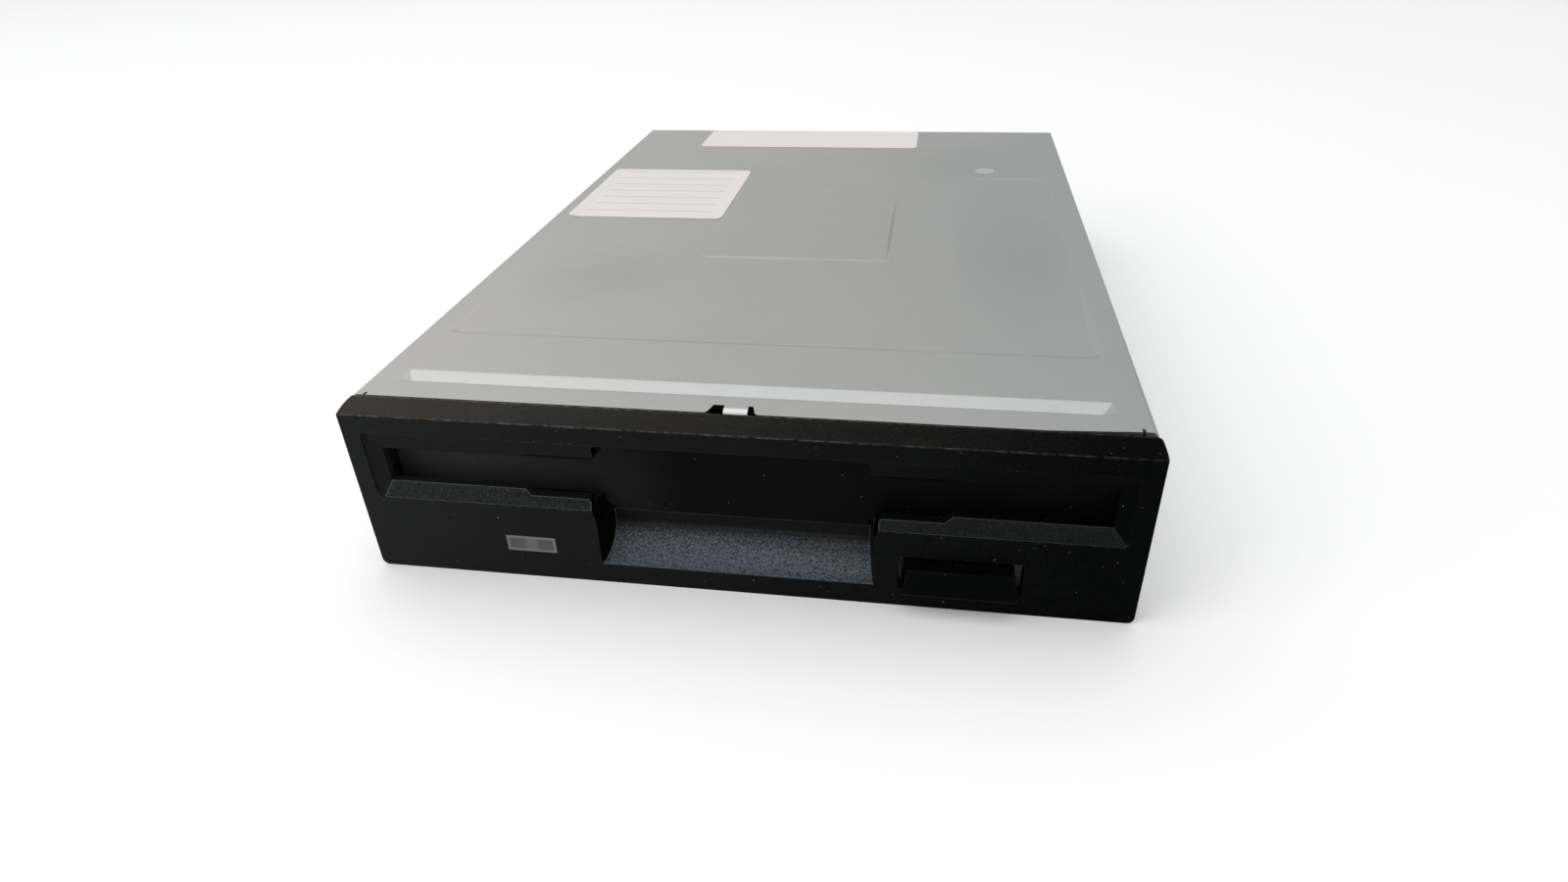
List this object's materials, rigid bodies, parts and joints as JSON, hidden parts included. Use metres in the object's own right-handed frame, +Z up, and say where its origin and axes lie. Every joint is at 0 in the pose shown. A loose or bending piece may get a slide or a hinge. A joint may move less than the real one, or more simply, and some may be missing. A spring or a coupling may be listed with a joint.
{
  "type": "floppy disk drive",
  "caption": "Slim drive for 3.5-inch diskettes: moulded bezel with slot, dust door and eject button, pressed cover, and the loading, spindle and head gear inside.",
  "frame": {"origin": "centre of the drive's bounding box, at its bottom", "axes": "+Y towards the connectors at the back, +Z up through the cover, +X to the right seen from the bezel"},
  "size_m": [0.1016, 0.1489, 0.0254],
  "materials": {
    "bezel_abs": "moulded black ABS, fine matte grain",
    "door_abs": "moulded black ABS, smooth satin",
    "smoked_lens": "moulded smoked acrylic",
    "zinc_steel": "pressed sheet steel, zinc plated",
    "cast_alloy": "die-cast aluminium, as cast",
    "spring_steel": "drawn spring wire",
    "ground_steel": "ground and polished bar",
    "screw_steel": "cold headed, zinc plated",
    "bearing_brass": "turned, oil filled",
    "contact_brass": "drawn square wire, gold flash",
    "board_laminate": "glass-epoxy laminate, green solder resist",
    "chip_epoxy": "transfer-moulded epoxy",
    "connector_black": "moulded glass-filled polyester",
    "natural_nylon": "moulded natural nylon",
    "led_green": "cast tinted epoxy",
    "stator_steel": "stacked stampings",
    "coil_copper": "enamelled copper winding",
    "ferrite": "sintered ferrite",
    "carriage_plastic": "moulded glass-filled resin",
    "paper": "coated white paper, stuck on"
  },
  "bodies": {
    "frame": {"chassis_frame": "cast_alloy", "top_cover": "zinc_steel", "front_bezel": "bezel_abs", "led_lens": "smoked_lens", "activity_led": "led_green", "front_board": "board_laminate", "switch_bodies": "connector_black", "motor_board": "board_laminate", "stator_core": "stator_steel", "stator_coils": "coil_copper", "spindle_bearing": "bearing_brass", "control_board": "board_laminate", "control_chips": "chip_epoxy", "data_connector": "connector_black", "data_pins": "contact_brass", "power_connector": "natural_nylon", "power_pins": "contact_brass", "stepper_motor": "zinc_steel", "screw_bush": "bearing_brass", "guide_rod": "ground_steel", "rod_clamps": "spring_steel", "track_zero_sensor": "connector_black", "lever_post": "screw_steel", "slider_studs": "screw_steel", "eject_springs": "spring_steel", "board_screws": "screw_steel", "motor_screws": "screw_steel", "stepper_screws": "screw_steel"},
    "slider": {"slider_plate": "zinc_steel", "eject_button": "bezel_abs"},
    "carrier": {"disk_carrier": "zinc_steel", "carrier_pins": "ground_steel", "disk_springs": "spring_steel"},
    "lever": {"trigger_lever": "natural_nylon", "lever_spring": "spring_steel"},
    "door": {"dust_door": "door_abs", "door_spring": "spring_steel"},
    "spindle": {"rotor_cup": "zinc_steel", "rotor_magnet": "ferrite", "spindle_hub": "stator_steel", "spindle_shaft": "ground_steel", "drive_pin": "ground_steel"},
    "carriage": {"head_carriage": "carriage_plastic", "lower_head": "ferrite", "screw_follower": "natural_nylon", "arm_pin": "ground_steel", "arm_spring": "spring_steel"},
    "arm": {"upper_arm": "carriage_plastic", "upper_head": "ferrite"},
    "screw": {"lead_screw": "ground_steel"},
    "disk_in_switch": {"disk_in_plunger": "natural_nylon"},
    "write_protect_switch": {"write_protect_plunger": "natural_nylon"},
    "density_switch": {"density_plunger": "natural_nylon"}
  },
  "joints": [
    {"name": "eject_slide", "type": "slide", "parent": "frame", "child": "slider", "axis": [0, -1, 0], "range_m": [0, 0.0055], "deforming": ["eject_springs"]},
    {"name": "carrier_drop", "type": "slide", "parent": "frame", "child": "carrier", "axis": [0, 0, -1], "range_m": [0, 0.0033]},
    {"name": "arm_drop", "type": "hinge", "parent": "carriage", "child": "arm", "pos_m": [0, 0.04475, 0.0198], "axis": [1, 0, 0], "range_deg": [0, 12]},
    {"name": "lever_swing", "type": "hinge", "parent": "frame", "child": "lever", "pos_m": [-0.043, 0.03685, 0.01], "axis": [0, 0, 1], "range_deg": [0, 46]},
    {"name": "head_slide", "type": "slide", "parent": "frame", "child": "carriage", "axis": [0, -1, 0], "range_m": [0, 0.0148]},
    {"name": "lead_screw_turn", "type": "hinge", "parent": "frame", "child": "screw", "pos_m": [-0.0175, 0.04025, 0.0115], "axis": [0, 1, 0], "range_deg": [0, 1425]},
    {"name": "spindle_spin", "type": "hinge", "parent": "frame", "child": "spindle", "pos_m": [0, -0.01975, 0.008], "axis": [0, 0, 1], "continuous": true},
    {"name": "door_swing", "type": "hinge", "parent": "frame", "child": "door", "pos_m": [0, -0.06665, 0.0221], "axis": [-1, 0, 0], "range_deg": [-78, 0], "stiffness_Nm_per_rad": 0.004, "springref_deg": 22.92},
    {"name": "disk_in_press", "type": "slide", "parent": "frame", "child": "disk_in_switch", "axis": [0, 0, -1], "range_m": [0, 0.001], "stiffness_N_per_m": 60, "springref_m": -0.002},
    {"name": "write_protect_press", "type": "slide", "parent": "frame", "child": "write_protect_switch", "axis": [0, 0, -1], "range_m": [0, 0.001], "stiffness_N_per_m": 60, "springref_m": -0.002},
    {"name": "density_press", "type": "slide", "parent": "frame", "child": "density_switch", "axis": [0, 0, -1], "range_m": [0, 0.001], "stiffness_N_per_m": 60, "springref_m": -0.002}
  ],
  "couplings": [
    {"joint": "carrier_drop", "follows": "eject_slide", "ratio": 0.6},
    {"joint": "arm_drop", "follows": "eject_slide", "rad_per_m": 38.079},
    {"joint": "lever_swing", "follows": "eject_slide", "rad_per_m": 145.97},
    {"joint": "lead_screw_turn", "follows": "head_slide", "rad_per_m": 1675.5}
  ]
}
